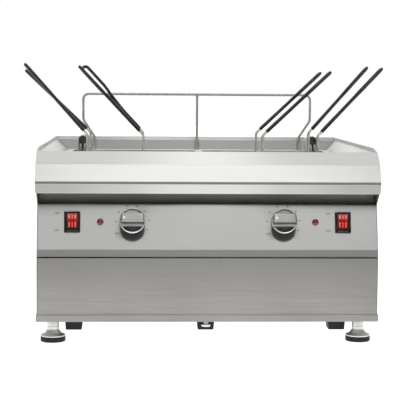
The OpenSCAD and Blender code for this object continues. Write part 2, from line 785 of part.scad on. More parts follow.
// The pipe's solid, or with g its bore, which is open at the tanks and at the spout
module drain_run(g) {
    low = (foot_h + band_h + tank_z) / 2;
    open = g > 0 ? 1 : 0;
    branch_r = pipe_r - 0.6;
    half = drain_x() + pipe_r - g;
    translate([-half, y_at(drain_d()), low]) rotate([0, 90, 0]) cylinder(r = pipe_r - g, h = 2 * half);
    for (x = [-drain_x(), drain_x()])
        translate([x, y_at(drain_d()), low]) cylinder(r = branch_r - g, h = tank_z - low + open);
    translate([0, y_at(drain_d()), low]) rotate([90, 0, 0]) cylinder(r = branch_r - g, h = drain_d() - spout_d);
    translate([0, y_at(spout_d), low - 30 + g]) cylinder(r = pipe_r - g, h = 30 + pipe_r - 2 * g);
    translate([0, y_at(spout_d), foot_h - spout_drop - open])
        cylinder(r = spout_r - g, h = low - foot_h + spout_drop - 26);
}

// Screw plug that closes the spout
module drain_plug() {
    head_h = 4;
    color(BRIGHT) translate([0, y_at(spout_d), foot_h - spout_drop - fit_gap]) {
        translate([0, 0, -head_h]) cylinder(r = plug_r, h = head_h);
        cylinder(r = spout_r - tank_t - run_gap, h = 14);
    }
}

// ---------- Back ----------

module cable_gland() {
    thread = gland_bore + 2.5;
    color(BLACK) translate([gland_x, y_at(body_d), foot_h + gland_h]) rotate([-90, 0, 0]) difference() {
        union() {
            cylinder(r = thread + 4, h = 5, $fn = 6);
            translate([0, 0, 5]) rotate_extrude()
                polygon([[0, 0], [thread + 2, 0], [thread + 2, 7], [thread - 1, 11], [0, 11]]);
            translate([0, 0, -16]) cylinder(r = thread, h = 17);
            translate([0, 0, -sheet_t - 4]) cylinder(r = thread + 4, h = 4, $fn = 6);
        }
        translate([0, 0, -17]) cylinder(r = gland_bore, h = 40);
    }
}

// Mains terminal block on the floor of the base pan, in front of the gland
module terminal_block() {
    poles = 5;
    pitch = 14;
    wide = poles * pitch + 4;
    color(BLACK) translate([gland_x - wide / 2, y_at(body_d - terminal_d), pan_z]) difference() {
        cube([wide, 30, 28]);
        for (i = [0:poles - 1]) translate([2 + pitch * (i + 0.5), 0, 0]) {
            translate([0, 15, 14]) cylinder(r = 4, h = 20);
            for (y = [-1, 22]) translate([-4, y, 8]) cube([8, 9, 30]);
        }
    }
}

// ---------- Baskets ----------

// Outer edge of a basket in the right half, and the set-back of its middle
function basket_edge(column) = tank_x + row_gap + basket_w + (column == "outer" ? basket_gap + basket_w : 0);
function basket_mid(row) = tank_d + row_gap + basket_l / 2 + (row == "rear" ? row_gap + basket_l : 0);
function lean(side, column, row) =
    let(hang = HANG[side == "left" ? 0 : 1], at = row == "front" ? 0 : 1)
    column == "outer" ? outer_tilt + hang[at] : inner_tilt + hang[2 + at];

function along_handle(side, column, row) = let(t = lean(side, column, row)) [sin(t), 0, cos(t)];

// A point of the handle's middle line: s along the slanted part, half across it
function on_handle(side, column, row, s, half) =
    [basket_edge(column) - basket_t / 2, basket_mid(row) + half, deck_z + bend_h]
    + s * along_handle(side, column, row);

// The wires start apart, come together at the pinch and open again to the eye
function smooth(t) = t * t * (3 - 2 * t);
function half_at(s) = s < pinch_s
    ? root_half + (pinch_half - root_half) * smooth(s / pinch_s)
    : pinch_half + (eye_half - pinch_half) * smooth(min(1, (s - pinch_s) / (eye_s - pinch_s)));

// Middle line of the grip: up one wire, round the eye and down the other
function grip_line(side, column, row) =
    let(tip = handle_len - eye_half,
        up = [for (i = [0:10]) let(s = bare_len + (tip - bare_len) * i / 10) [s, half_at(s)]],
        eye = [for (a = [22.5:22.5:157.5]) [tip + eye_half * sin(a), eye_half * cos(a)]],
        down = [for (i = [10:-1:0]) [up[i][0], -up[i][1]]])
    [for (p = concat(up, eye, down)) on_handle(side, column, row, p[0], p[1])];

module basket(side, column, row) {
    edge = basket_edge(column);
    mid = basket_mid(row);
    rim_z = basket_z + basket_h - rim_r;
    color(STEEL) on_side(side) {
        translate([0, 0, basket_z]) difference() {
            linear_extrude(basket_h - rim_r) basket_plan(edge, mid, 0);
            translate([0, 0, basket_t]) linear_extrude(basket_h) basket_plan(edge, mid, basket_t);
        }
        rim_wire(edge, mid, rim_z);
        for (way = [-1, 1]) {
            bend = on_handle(side, column, row, 0, way * root_half);
            end = on_handle(side, column, row, bare_len, way * root_half);
            translate([bend[0], y_at(bend[1]), rim_z]) cylinder(r = wire_r, h = bend[2] - 6 - rim_z);
            round_sweep(placed(round_run([bend - [0, 0, 8], bend, end], [12])), wire_r - 0.05, [0, 1, 0]);
        }
    }
}

module basket_plan(edge, mid, g) {
    round_rect([edge - basket_w + g, mid - basket_l / 2 + g], [edge - g, mid + basket_l / 2 - g], basket_r - g);
}

// Round wire along the top of a basket, over the middle of its wall
module rim_wire(edge, mid, z) {
    g = basket_t / 2;
    x = [edge - basket_w + g, edge - g];
    d = [mid - basket_l / 2 + g, mid + basket_l / 2 - g];
    bend = basket_r - g;
    middle = (x[0] + x[1]) / 2;
    bent_rod(placed([[middle, d[0], z], [x[1], d[0], z], [x[1], d[1], z], [x[0], d[1], z], [x[0], d[0], z],
                     [middle, d[0], z]]), rim_r, [bend, bend, bend, bend]);
}

// Black plastic over the hairpin end of a handle, with the wire inside it
module grip(side, column, row) {
    color(BLACK) on_side(side)
        round_sweep(placed(grip_line(side, column, row)), grip_r, cross([0, 1, 0], along_handle(side, column, row)));
}

// ---------- Nodes ----------

base_pan();
lower_front_panel();
back_panel();
control_panel();
front_rail();
top_surround();
basket_rail();
rail_sockets();
foot_sockets();
base_blocks();
drain_pipe();
drain_plug();
terminal_block();
cable_gland();
panel_screws();
for (s = SIDES) {
    side_panel(s);
    tank(s);
    heater(s);
    element_cover(s);
    basket_grid(s);
    thermostat(s);
    pilot_lamp(s);
    switch_housing(s);
    switch_rocker(s);
    knob(s);
    for (r = ROWS) {
        foot(r, s);
        foot_pad(r, s);
        for (c = COLUMNS) {
            basket(s, c, r);
            grip(s, c, r);
        }
    }
}
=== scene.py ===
import math

import bmesh
import bpy
import numpy as np
from bpy.props import FloatProperty, FloatVectorProperty, PointerProperty
from mathutils import Matrix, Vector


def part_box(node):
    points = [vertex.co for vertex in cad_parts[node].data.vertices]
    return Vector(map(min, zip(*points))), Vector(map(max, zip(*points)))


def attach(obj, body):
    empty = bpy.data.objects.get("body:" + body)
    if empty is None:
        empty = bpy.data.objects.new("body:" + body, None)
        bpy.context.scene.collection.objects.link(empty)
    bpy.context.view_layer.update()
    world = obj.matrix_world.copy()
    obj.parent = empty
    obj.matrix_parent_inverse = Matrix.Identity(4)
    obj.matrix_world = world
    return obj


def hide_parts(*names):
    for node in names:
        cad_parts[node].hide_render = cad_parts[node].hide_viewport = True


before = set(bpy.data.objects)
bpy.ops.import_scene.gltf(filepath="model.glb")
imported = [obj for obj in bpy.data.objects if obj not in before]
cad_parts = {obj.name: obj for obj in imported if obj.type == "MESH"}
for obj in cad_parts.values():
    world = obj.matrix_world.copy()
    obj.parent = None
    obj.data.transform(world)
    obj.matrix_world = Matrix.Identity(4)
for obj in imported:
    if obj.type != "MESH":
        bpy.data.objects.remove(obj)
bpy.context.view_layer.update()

bl_info = {
    "name": "Twin tank deep fryer",
    "version": (1, 0, 0),
    "blender": (4, 5, 0),
    "location": "3D View > Sidebar > Fryer",
    "description": "Wire baskets, handles, controls, feet and finishes for a twin tank deep fryer",
    "category": "Object",
}

MM = 0.001
X, Y, Z = range(3)
SIDES = {"left": -1, "right": 1}
BASKETS = [(side, column, row) for side in SIDES for column in ("outer", "inner") for row in ("front", "rear")]


def from_box(node, axis, share):
    """A coordinate in a CAD node's box, to a tenth of a millimetre: share 0 is its low side and 1 its high side."""
    low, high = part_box(node)
    return round((low[axis] + share * (high[axis] - low[axis])) / MM, 1)


# Places in the frame, in millimetres. The panel slopes from an upright fold, the element covers stand on the deck, and
# the front rail reaches up to the nose.
PANEL_FOLD = 15.0
PANEL_FOOT = np.array([0.0, from_box("control_panel", Y, 0), from_box("control_panel", Z, 0) + PANEL_FOLD])
PANEL_TILT = math.radians(14.2)
ROW_UP = 57.5
KNOB_X = from_box("knob_right", X, 0.5)
LAMP_X = from_box("pilot_lamp_right", X, 0.5)
SWITCH_X = from_box("switch_housing_right", X, 0.5)
RAIL_Y = from_box("basket_rail", Y, 0.5)
DECK_Z = from_box("element_cover_right", Z, 0)
NOSE_Z = from_box("front_rail", Z, 1)
FOOT_X = from_box("foot_pad_rear_right", X, 0.5)
FOOT_Y = from_box("foot_pad_rear_right", Y, 0.5)

# Marks round a knob: their distance from its middle, and their angles in degrees
DIAL_RADIUS = 34.0
DIAL_ANGLES = 178, 144, 110.5, 75, 40.5, 5.5, -29.5

# The middle of a basket's wall: its plan and height, and how far it lies inside the side and over the foot of the box
BASKET_W, BASKET_L, BASKET_R, BASKET_H = 116.0, 156.0, 13.0, 141.0
WALL_IN, FLOOR_UP = 3.0, 1.0
BASKET_X = {
    column: from_box(f"basket_right_{column}_front", X, 0) + WALL_IN + BASKET_W / 2 for column in ("outer", "inner")
}
BASKET_Y = {row: from_box(f"basket_right_outer_{row}", Y, 0.5) for row in ("front", "rear")}
BASKET_Z = from_box("basket_right_outer_front", Z, 0) + FLOOR_UP

# Handle wires: the height of their bend, its radius, how far under the rim they start and past the bend they end
BEND_Z = DECK_Z + 48
BEND_R, WIRE_DOWN, WIRE_ON = 12.0, 46.0, 20.0

# A grip, along the handle from its bend: its start, pinch, spread into the eye and arc, and where a twisted one turns.
# Then half the distance between its wires at the root, the pinch and the eye
GRIP_START, PINCH_END, EYE_START, EYE_LENGTH, ARC_START = 13.0, 94.8, 106.0, 41.2, 197.5
TWIST_START, TWIST_LENGTH = 60.0, 70.0
ROOT_HALF, PINCH_HALF, EYE_HALF = 7.0, 4.2, 8.5

# How far each handle leans from upright, in degrees
LEAN = {
    "left": {"outer": {"front": 41.6, "rear": 46.4}, "inner": {"front": 43.3, "rear": 42.8}},
    "right": {"outer": {"front": 43.2, "rear": 41.4}, "inner": {"front": 46.7, "rear": 46.7}},
}

# How far the eye of a handle is twisted about the handle's own length, in degrees
TWIST = {("left", "inner", "rear"): 52}


# --- Sizes and colours ---


def length(name, description, default):
    """A length property, whose default is given in millimetres."""
    return FloatProperty(name=name, description=description, default=default * MM, min=0.0, unit="LENGTH", precision=5)


def colour(name, description, default):
    return FloatVectorProperty(name=name, description=description, default=default, subtype="COLOR", min=0.0, max=1.0)


class FryerSizes(bpy.types.PropertyGroup):
    mesh_pitch: length("Mesh pitch", "Distance between the wires of the basket mesh", 6.5)
    mesh_wire: length("Mesh wire", "Radius of the wires of the basket mesh", 0.5)
    rim_wire: length("Rim wire", "Radius of the wire round the top of a basket", 3.0)
    handle_wire: length("Handle wire", "Radius of the wires of a basket handle", 2.5)
    coat: length("Grip", "Radius of the plastic coat on the handle wires", 3.5)
    rail_tube: length("Rail", "Radius of the rail behind the tanks", 3.0)
    tick: length("Dial mark", "Length of the marks round a knob", 3.0)


class FryerColours(bpy.types.PropertyGroup):
    panel_steel: colour("Panel steel", "Brushed steel of the sloping control panel", (0.44, 0.44, 0.435))
    body_steel: colour("Body steel", "Satin steel of the lower body", (0.38, 0.372, 0.355))
    surround_steel: colour("Surround steel", "Bright satin steel round the tanks", (0.82, 0.815, 0.79))
    wire_steel: colour("Wire steel", "Baskets, rail and handle wires", (0.72, 0.71, 0.69))
    grip: colour("Grip", "Plastic coat of the handles", (0.008, 0.008, 0.008))
    rubber: colour("Rubber", "Foot pads", (0.006, 0.006, 0.006))
    lens: colour("Red plastic", "Rockers and pilot lamps", (0.46, 0.010, 0.010))
    ink: colour("Ink", "Printed marks on the panel", (0.012, 0.012, 0.012))


# --- Shapes ---
# A shell is (points, quads, other faces). Points are in millimetres.


def unit(vectors):
    """Each vector over its own length."""
    return vectors / np.linalg.norm(vectors, axis=-1, keepdims=True)


def skin(rings, closed=False, capped=True):
    """Faces over rings of points. The last three axes are ring, point round the ring, and x, y, z, and an axis before
    them holds separate shells. Each ring closes on itself. A closed shell joins its last ring to its first, and an open
    one gets a flat face over each end."""
    rings = np.asarray(rings, float)
    rings = rings.reshape((-1,) + rings.shape[-3:])
    shells, rows, sides = rings.shape[:3]
    start = np.arange(shells)[:, None, None] * rows * sides
    row = np.arange(rows if closed else rows - 1)[:, None]
    side = np.arange(sides)[None, :]
    here, there, beside = row * sides, (row + 1) % rows * sides, (side + 1) % sides
    quads = np.stack([start + here + side, start + here + beside, start + there + beside, start + there + side], -1)
    ends = start[:, 0] + np.arange(sides)
    caps = [*ends, *(ends + (rows - 1) * sides)] if capped and not closed else []
    return rings.reshape(-1, 3), quads.reshape(-1, 4), caps


def tube(path, radius, sides, up=(0.0, 1.0, 0.0), closed=False):
    """A circle carried along a path. Each ring lies square to the mean of the path's directions before and after it,
    and its first point is turned by the fixed direction up."""
    path = np.asarray(path, float)
    if closed:
        after = unit(np.roll(path, -1, -2) - path)
        before = np.roll(after, 1, -2)
    else:
        steps = unit(np.diff(path, axis=-2))
        before = np.concatenate([steps[..., :1, :], steps], -2)
        after = np.concatenate([steps, steps[..., -1:, :]], -2)
    ahead = unit(before + after)
    side = unit(np.cross(ahead, np.broadcast_to(up, path.shape)))
    lift = np.cross(side, ahead)
    turn = np.arange(sides) * 2 * np.pi / sides
    radius = np.broadcast_to(radius, path.shape[:-1])[..., None, None]
    across = np.cos(turn)[:, None] * side[..., None, :] + np.sin(turn)[:, None] * lift[..., None, :]
    return skin(path[..., None, :] + radius * across, closed)


def lathe(profile, sides):
    """A profile of (radius, height) points turned round the Z axis: x and y are the radius times cosine and sine."""
    radius, height = np.asarray(profile, float).T[:, :, None]
    turn = np.arange(sides) * 2 * np.pi / sides
    return skin(np.stack([radius * np.cos(turn), radius * np.sin(turn), height + 0 * turn], -1), capped=False)


def stack(outlines, heights, closed=False):
    """Flat outlines with the same number of points, one above the other at the given heights."""
    outlines = np.asarray(outlines, float)
    height = np.broadcast_to(np.asarray(heights, float)[:, None, None], outlines.shape[:2] + (1,))
    return skin(np.concatenate([outlines, height], -1), closed)


def round_rect(width, long, radius, steps=6):
    """Outline of a rectangle with round corners: a quarter circle about the centre of each corner."""
    turn = (np.arange(4)[:, None] + np.linspace(0, 1, steps)) * np.pi / 2
    centre = np.array([[1, 1], [-1, 1], [-1, -1], [1, -1]])[:, None] * (np.array([width, long]) / 2 - radius)
    return (centre + radius * np.stack([np.cos(turn), np.sin(turn)], -1)).reshape(-1, 2)


def rounded(corners, bends, steps):
    """A run of straight lines whose inner corners are arcs of the given radii, each tangent to its two lines."""
    corners = np.asarray(corners, float)
    run = [corners[:1]]
    for a, b, c, radius in zip(corners, corners[1:], corners[2:], bends):
        u, v = unit(b - a), unit(c - b)
        turn = math.acos(np.clip(u @ v, -1, 1))
        inward = unit(v - u * (u @ v))
        centre = b - u * radius * math.tan(turn / 2) + inward * radius
        t = np.linspace(0, turn, steps)[:, None]
        run.append(centre - inward * radius * np.cos(t) + u * radius * np.sin(t))
    return np.concatenate(run + [corners[-1:]])


def moved(shell, offset):
    """The shell with the offset added to each point."""
    return (shell[0] + np.asarray(offset, float), *shell[1:])


def mirrored(shell, side):
    """The left half is the right half with x turned round."""
    return (shell[0] * [SIDES[side], 1, 1], *shell[1:])


def on_panel(shell, x):
    """Carries a shell drawn with x across, y up the panel and z out of it to the sloping panel: its y and z turn by the
    panel's tilt about the panel's lower edge."""
    c, s = math.cos(PANEL_TILT), math.sin(PANEL_TILT)
    points = shell[0] + [x, ROW_UP, 0]
    return (points @ np.array([[1, 0, 0], [0, s, c], [0, -c, s]]) + PANEL_FOOT, *shell[1:])


def linked(name, data):
    """A new object in the scene."""
    holder = bpy.data.objects.new(name, data)
    bpy.context.scene.collection.objects.link(holder)
    return holder


def letters(word, height, thick=0.3):
    """The outline of a word, centred, with a thickness."""
    curve = bpy.data.curves.new(word, "FONT")
    curve.body = word
    curve.size = height / 0.7
    curve.extrude = thick / 2
    curve.resolution_u = 3
    curve.align_x = "CENTER"
    curve.align_y = "CENTER"
    holder = linked(word, curve)
    mesh = bpy.data.meshes.new_from_object(holder.evaluated_get(bpy.context.evaluated_depsgraph_get()))
    points = np.zeros(len(mesh.vertices) * 3)
    mesh.vertices.foreach_get("co", points)
    faces = [np.array(p.vertices) for p in mesh.polygons]
    bpy.data.objects.remove(holder)
    bpy.data.curves.remove(curve)
    bpy.data.meshes.remove(mesh)
    return points.reshape(-1, 3), np.zeros((0, 4), int), faces


def make(name, parts, body, nodes, crease=35):
    """Joins shells, each with its finish, into one object in its place, which rides on a body and stands for nodes."""
    finishes = list(dict.fromkeys(finish for _, finish in parts))
    points, corners, sizes, marks, first = [], [], [], [], 0
    for (at, quads, others), finish in parts:
        points.append(at)
        corners += [quads.ravel() + first, *(face + first for face in others)]
        size = np.array([4] * len(quads) + [len(face) for face in others])
        sizes.append(size)
        marks.append(np.full(len(size), finishes.index(finish)))
        first += len(at)
    points, corners, sizes = np.concatenate(points) * MM, np.concatenate(corners), np.concatenate(sizes)
    mesh = bpy.data.meshes.new(name)
    mesh.vertices.add(len(points))
    mesh.vertices.foreach_set("co", points.ravel())
    mesh.loops.add(len(corners))
    mesh.loops.foreach_set("vertex_index", corners.astype(np.int32))
    mesh.polygons.add(len(sizes))
    mesh.polygons.foreach_set("loop_start", np.concatenate([[0], np.cumsum(sizes)[:-1]]).astype(np.int32))
    mesh.polygons.foreach_set("material_index", np.concatenate(marks).astype(np.int32))
    mesh.update(calc_edges=True)
    for finish in finishes:
        mesh.materials.append(finish)
    work = bmesh.new()
    work.from_mesh(mesh)
    bmesh.ops.remove_doubles(work, verts=work.verts, dist=2e-6)
    bmesh.ops.recalc_face_normals(work, faces=work.faces)
    work.to_mesh(mesh)
    work.free()
    mesh.polygons.foreach_set("use_smooth", np.ones(len(mesh.polygons), bool))
    mesh.set_sharp_from_angle(angle=math.radians(crease))
    if mesh.validate():
        raise ValueError(f"{name} has faces that the mesh check removed")
    piece = linked(name, mesh)
    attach(piece, body)
    if nodes:
        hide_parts(*nodes)
    return piece


# --- Finishes ---


class Pattern:
    """A number or colour that varies over a surface. Arithmetic on it adds Math nodes."""

    def __init__(self, nodes, socket):
        self.nodes = nodes
        self.socket = socket

    def math(self, operation, first, second):
        return self.nodes.node("ShaderNodeMath", {"operation": operation}, {0: first, 1: second})

    def __add__(self, other):
        return self.math("ADD", self, other)

    def __sub__(self, other):
        return self.math("SUBTRACT", self, other)

    def __rsub__(self, other):
        return self.math("SUBTRACT", other, self)

    def __mul__(self, other):
        return self.math("MULTIPLY", self, other)

    def __abs__(self):
        return self.math("ABSOLUTE", self, 0.0)

    __radd__ = __add__
    __rmul__ = __mul__

    def between(self, low, high, to_low=0.0, to_high=1.0):
        """0 below low and 1 above high, or the two given numbers."""
        return self.nodes.node(
            "ShaderNodeMapRange", {"clamp": True}, {0: self, 1: low, 2: high, 3: to_low, 4: to_high}
        )

    def above(self, level, blur):
        """1 above the level and 0 below it, with an edge that is soft over the blur to each side."""
        return self.between(level - blur, level + blur)

    def below(self, level, blur):
        """1 below the level and 0 above it, with the same soft edge."""
        return self.between(level - blur, level + blur, 1.0, 0.0)


class Nodes:
    """The node tree of a material or world, which starts empty."""

    def __init__(self, owner):
        owner.use_nodes = True
        self.tree = owner.node_tree
        self.tree.nodes.clear()

    def node(self, kind, settings=None, sockets=None, output=0):
        """A node with its settings, then the values or links of its sockets. Returns one of its outputs."""
        made = self.tree.nodes.new(kind)
        for key, value in (settings or {}).items():
            setattr(made, key, value)
        for key, value in (sockets or {}).items():
            if isinstance(value, Pattern):
                self.tree.links.new(value.socket, made.inputs[key])
            else:
                made.inputs[key].default_value = value
        return Pattern(self, made.outputs[output]) if made.outputs else made

    def part(self, vector, axis):
        """One coordinate of a vector."""
        return self.node("ShaderNodeSeparateXYZ", {}, {0: vector}, output="XYZ".index(axis))

    def blend(self, first, second, factor):
        """From one colour to the other as the factor goes from 0 to 1."""
        first, second = (c if isinstance(c, Pattern) else (*c[:3], 1.0) for c in (first, second))
        return self.node("ShaderNodeMix", {"data_type": "RGBA"}, {0: factor, 6: first, 7: second}, output=2)


class Finish(Nodes):
    """A procedural material with one shader."""

    def __init__(self, name):
        self.material = bpy.data.materials.new(name)
        super().__init__(self.material)

    def place(self, scale=(1.0, 1.0, 1.0), offset=(0.0, 0.0, 0.0)):
        """The piece's own coordinates in metres, stretched by scale, so a large number makes a fine pattern."""
        at = self.node("ShaderNodeTexCoord", output=3)
        return self.node("ShaderNodeMapping", {}, {"Vector": at, "Location": offset, "Scale": scale})

    def noise(self, scale, detail=3.0, rough=0.5, offset=(0.0, 0.0, 0.0)):
        """Soft random patches, whose size is one over the scale: one number, or one for each axis."""
        at = self.place(tuple(np.broadcast_to(scale, 3)), offset)
        return self.node("ShaderNodeTexNoise", {}, {"Vector": at, "Scale": 1.0, "Detail": detail, "Roughness": rough})

    def along(self, axis):
        """The piece's own coordinate along one axis, in metres."""
        return self.part(self.place(), axis)

    def bump(self, height, strength, distance, edge=0.0):
        """A raised pattern, over normals that are turned softly round the edges when edge gives a radius in metres."""
        sockets = {"Height": height, "Strength": strength, "Distance": distance}
        if edge:
            sockets["Normal"] = self.node("ShaderNodeBevel", {"samples": 3}, {"Radius": edge})
        return self.node("ShaderNodeBump", {}, sockets)

    def shade(self, **sockets):
        """The material, whose shader takes these values and patterns."""
        names = {key.replace("_", " ").title(): value for key, value in sockets.items()}
        shader = self.node("ShaderNodeBsdfPrincipled", {}, names)
        self.node("ShaderNodeOutputMaterial", {}, {"Surface": shader})
        return self.material


def tint(colour, factor):
    """The colour times a factor, cut off at 1."""
    return tuple(min(1.0, c * factor) for c in colour[:3])


def brushed(name, colour, roughness, along, mottle=0.12, edge=0.0006, grain=0.22, shade_zones=()):
    """Rolled and brushed steel: hair lines drawn out along one axis, over broad soft patches where the sheet takes
    the light unevenly, and rougher where the lines are deep. In each zone the colour is multiplied by its factor."""
    finish = Finish(name)
    fine = tuple(14.0 if axis == along else 1900.0 for axis in "XYZ")
    long = tuple(7.0 if axis == along else 420.0 for axis in "XYZ")
    hair = finish.noise(fine, detail=4.0, rough=0.65)
    streak = finish.noise(long, detail=3.0, rough=0.6, offset=(3.0, 5.0, 7.0))
    patch = finish.noise(5.0, detail=2.0, offset=(1.0, 2.0, 4.0))
    depth = streak * 0.5 + patch * 0.5
    shade = finish.blend(tint(colour, 1 - mottle), tint(colour, 1 + mottle), depth.between(0.32, 0.68))
    # Painted shade: in each zone the colour is darkened by its factor.
    for zone, factor in shade_zones:
        shade = finish.blend(shade, tint(colour, factor), zone(finish))
    lines = hair * 0.6 + streak * 0.4
    return finish.shade(
        base_color=shade,
        metallic=1.0,
        roughness=lines.between(0.2, 0.8, roughness - 0.05, roughness + 0.07),
        anisotropic=0.75,
        anisotropic_rotation=0.25,
        normal=finish.bump(lines, grain, 0.0003, edge),
    )


def drawn_steel(name, colour, roughness, stain=0.0):
    """Pressed or welded steel with no grain of its own: faint clouds, small dimples and, low down, a tan oil stain."""
    finish = Finish(name)
    cloud = finish.noise(16.0, detail=4.0)
    speck = finish.noise(420.0, detail=2.0)
    clean = finish.blend(tint(colour, 0.88), tint(colour, 1.08), cloud.between(0.3, 0.7))
    if stain:
        low = finish.along("Z").between(0.16, 0.34, 1.0, 0.0) * cloud.between(0.35, 0.65) * stain
        clean = finish.blend(clean, (0.30, 0.20, 0.10), low)
    return finish.shade(
        base_color=clean,
        metallic=1.0,
        roughness=cloud.between(0.3, 0.7, roughness - 0.04, roughness + 0.06),
        normal=finish.bump(speck, 0.08, 0.0002),
    )


def polished(name, colour, roughness):
    """Plated wire and turned parts: a bright face with slight haze and fine drawing lines."""
    finish = Finish(name)
    haze = finish.noise(90.0, detail=3.0)
    lines = finish.noise((900.0, 900.0, 60.0), detail=2.0)
    return finish.shade(
        base_color=finish.blend(tint(colour, 0.86), tint(colour, 1.1), haze.between(0.35, 0.65)),
        metallic=1.0,
        roughness=haze.between(0.3, 0.7, roughness - 0.03, roughness + 0.08),
        normal=finish.bump(lines, 0.02, 0.0001),
    )


def moulded(name, colour, roughness, coat=0.0, grain=900.0, pebbled=0.05):
    """Moulded plastic or rubber: a fine pebbled face with slightly worn, lighter spots."""
    finish = Finish(name)
    pebble = finish.noise(grain, detail=3.0)
    rub = finish.noise(60.0, detail=4.0, rough=0.6)
    worn = tuple(c * 1.4 + 0.004 for c in colour[:3])
    return finish.shade(
        base_color=finish.blend(colour, worn, rub.between(0.45, 0.75)),
        roughness=rub.between(0.3, 0.7, roughness - 0.05, roughness + 0.08),
        coat_weight=coat,
        coat_roughness=0.08,
        normal=finish.bump(pebble, pebbled, 0.0002),
    )


def clear_red(name, colour):
    """Red moulded lens: fine deeper and lighter swirls under a glossy skin."""
    finish = Finish(name)
    swirl = finish.noise(160.0, detail=2.0)
    return finish.shade(
        base_color=finish.blend(tint(colour, 0.55), tint(colour, 1.25), swirl.between(0.3, 0.7)),
        roughness=swirl.between(0.3, 0.7, 0.16, 0.24),
        coat_weight=1.0,
        coat_roughness=0.04,
        normal=finish.bump(swirl, 0.05, 0.0002),
    )


# Zones of painted shade: each is 1 on a part of a sheet, whose colour it darkens there, and 0 elsewhere. Levels and
# blurs are in metres.


def shaded_inner_back(finish):
    """Painted shade on the slope inside the back of the surround, which narrows downwards."""
    back = finish.along("Y")
    ends = (abs(finish.along("X")) - back).below(0.02675, 0.00075)
    return ends * back.above(0.2895, 0.0015) * back.below(0.322, 0.001)


def shaded_nose_line(finish):
    """Painted shade along the fold of the nose, at the front of the surround."""
    up, back = finish.along("Z"), finish.along("Y")
    return up.above(NOSE_Z * MM - 0.0046, 0.0005) * up.below(NOSE_Z * MM + 0.0008, 0.0004) * back.below(-0.320, 0.002)


def shaded_front_rim(finish):
    """Painted shade on the upright face under the nose."""
    return finish.along("Z").below(NOSE_Z * MM - 0.0051, 0.0005) * finish.along("Y").below(-0.318, 0.002)


def shaded_rim_ends(finish):
    """Painted shade on the upright face under the nose, growing from 0 near its middle to 1 at its ends."""
    return shaded_front_rim(finish) * abs(finish.along("X")).between(0.06, 0.30)


def shaded_front_chamfer(finish):
    """Painted shade on the slope over the nose, which dims its highlight."""
    return finish.along("Z").above(NOSE_Z * MM + 0.0008, 0.0004) * finish.along("Y").below(-0.3085, 0.0005)


def painted_shade_under_fold(finish):
    """Painted shade on the lower body, growing from 0 at its foot to 1 at its top, so the foot stays lighter as if lit
    by the floor.
    """
    return finish.along("Z").between(0.09, 0.185)


def shaded_panel_fold(finish):
    """The strip under the sloping panel, darkened as painted shade."""
    return finish.along("Z").below(0.20025, 0.00125)


def painted_knob_shadow(finish):
    """Painted shadow of each knob: a disc low on each knob's place, where the panel is darkened as by the knob's
    cast shadow. The squares of the distances across and up the slope from its middle are added up. The distance
    up the slope is the height over the cosine of the panel's tilt."""
    across = abs(finish.along("X")) - KNOB_X * MM
    up = (finish.along("Z") - 0.2402) * 1.0315
    return (across * across + up * up).between(0.0240 ** 2, 0.0262 ** 2, 1.0, 0.0)


def kept_finishes(colours):
    """Finish for each CAD node that stays, by the start of the node's name."""
    # Painted shade on the panel: the fold strip is darkened, and a painted shadow lies low under each knob.
    panel = brushed("brushed_panel", colours.panel_steel, 0.48, "X", mottle=0.05,
                    shade_zones=[(shaded_panel_fold, 0.60), (painted_knob_shadow, 0.25)])
    # Painted shade: the lower body is darker towards its top.
    body = brushed("satin_body", colours.body_steel, 0.42, "X", mottle=0.14, shade_zones=[(painted_shade_under_fold, 0.76)])
    sides = brushed("satin_sides", colours.body_steel, 0.42, "Y", mottle=0.14)
    # Painted shade on the surround: the inner back slope, the rim under the nose and more so its ends, the chamfer and
    # the nose's fold.
    surround = brushed("bright_surround", colours.surround_steel, 0.48, "X", mottle=0.03, edge=0.0008,
                       shade_zones=[(shaded_inner_back, 0.48), (shaded_front_rim, 0.88), (shaded_rim_ends, 0.60), (shaded_front_chamfer, 0.78),
                              (shaded_nose_line, 0.26)])
    inner = drawn_steel("tank_steel", tint(colours.wire_steel, 1.2), 0.46, stain=0.35)
    hidden = drawn_steel("inner_steel", tint(colours.body_steel, 1.1), 0.42)
    bright = polished("bright_parts", colours.wire_steel, 0.20)
    black = moulded("black_plastic", (0.004, 0.004, 0.004), 0.55)
    return {
        "control_panel": panel,
        "lower_front_panel": body,
        "base_pan": body,
        # The front rail under the nose is coloured dark as painted shade in its recess.
        "front_rail": brushed("dark_recess", (0.32, 0.31, 0.29), 0.5, "X"),
        "side_panel": sides,
        "back_panel": body,
        "top_surround": surround,
        "tank": inner,
        "heater": drawn_steel("element_steel", (0.52, 0.50, 0.47), 0.50, stain=0.5),
        "element_cover": brushed("cover_steel", tint(colours.surround_steel, 1.15), 0.62, "Z", mottle=0.06),
        "basket_grid": bright,
        "thermostat": hidden,
        "rail_sockets": bright,
        "foot_sockets": hidden,
        "base_blocks": black,
        "drain_pipe": hidden,
        "drain_plug": bright,
        "terminal_block": black,
        "cable_gland": black,
        "panel_screws": bright,
        "foot_pad": moulded("foot_rubber", colours.rubber, 0.62, grain=500.0),
    }


# --- Pieces ---


